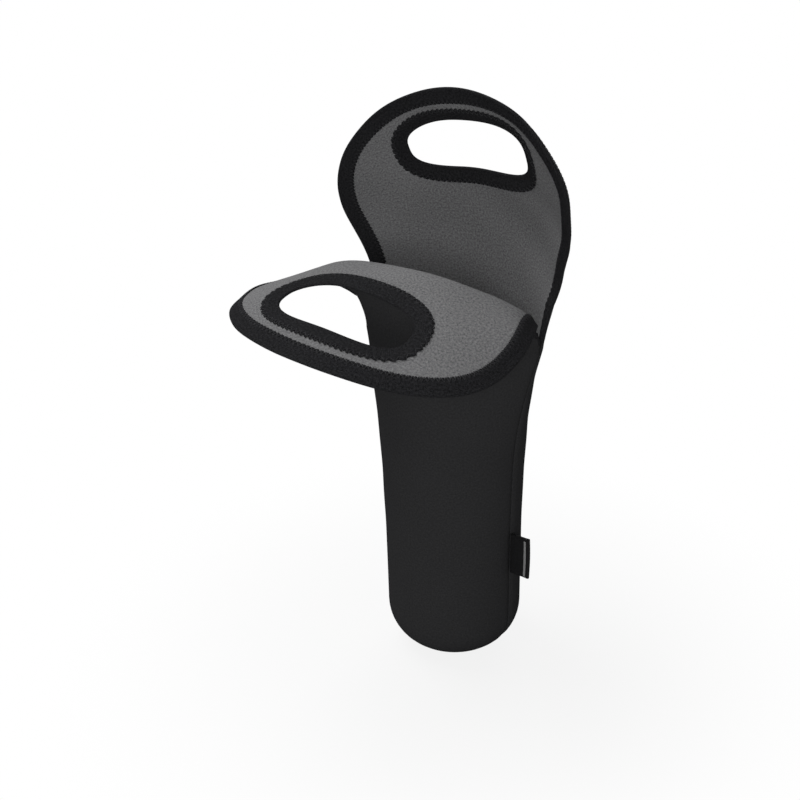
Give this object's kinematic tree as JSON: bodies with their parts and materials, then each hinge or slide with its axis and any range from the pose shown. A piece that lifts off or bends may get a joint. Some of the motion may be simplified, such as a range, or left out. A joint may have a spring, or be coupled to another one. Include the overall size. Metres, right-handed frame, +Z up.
{
  "type": "bottle carrier",
  "caption": "Soft carrier for one bottle, sewn from foam-backed knit, with two rounded handle flaps and bound hand holes.",
  "frame": {"origin": "middle of the base, on the floor that the carrier stands on", "axes": "+Z up the tube, X from side seam to side seam with the label on +X, the folded front flap points to -Y"},
  "size_m": [0.1647, 0.1676, 0.3318],
  "materials": {
    "outer_knit": "matte fine jersey knit",
    "foam_core": "matte closed-cell foam",
    "lining_knit": "matte heather knit",
    "binding_tape": "matte rib-knit tape",
    "thread": "twisted sewing thread",
    "side_label": "woven ribbon"
  },
  "bodies": {
    "carrier_body": {"front_body_knit": "outer_knit", "front_body_foam": "foam_core", "front_body_lining": "lining_knit", "back_body_knit": "outer_knit", "back_body_foam": "foam_core", "back_body_lining": "lining_knit", "front_fold_knit": "outer_knit", "front_fold_foam": "foam_core", "front_fold_lining": "lining_knit", "front_fold_binding": "binding_tape", "back_bend_knit": "outer_knit", "back_bend_foam": "foam_core", "back_bend_lining": "lining_knit", "back_bend_binding": "binding_tape", "seam_thread": "thread", "side_label": "side_label"},
    "front_handle": {"front_handle_knit": "outer_knit", "front_handle_foam": "foam_core", "front_handle_lining": "lining_knit", "front_edge_binding": "binding_tape", "front_hole_binding": "binding_tape", "front_edge_thread": "thread", "front_hole_thread": "thread"},
    "back_handle": {"back_handle_knit": "outer_knit", "back_handle_foam": "foam_core", "back_handle_lining": "lining_knit", "back_edge_binding": "binding_tape", "back_hole_binding": "binding_tape", "back_edge_thread": "thread", "back_hole_thread": "thread"}
  },
  "joints": [
    {"name": "front_fold", "type": "hinge", "parent": "carrier_body", "child": "front_handle", "pos_m": [0, -0.043, 0.24], "axis": [1, 0, 0], "range_deg": [-80, 40], "deforming": ["front_fold_knit", "front_fold_foam", "front_fold_lining", "front_fold_binding"]},
    {"name": "back_bend", "type": "hinge", "parent": "carrier_body", "child": "back_handle", "pos_m": [0, 0.043, 0.24], "axis": [1, 0, 0], "range_deg": [-80, 10], "deforming": ["back_bend_knit", "back_bend_foam", "back_bend_lining", "back_bend_binding"]}
  ]
}
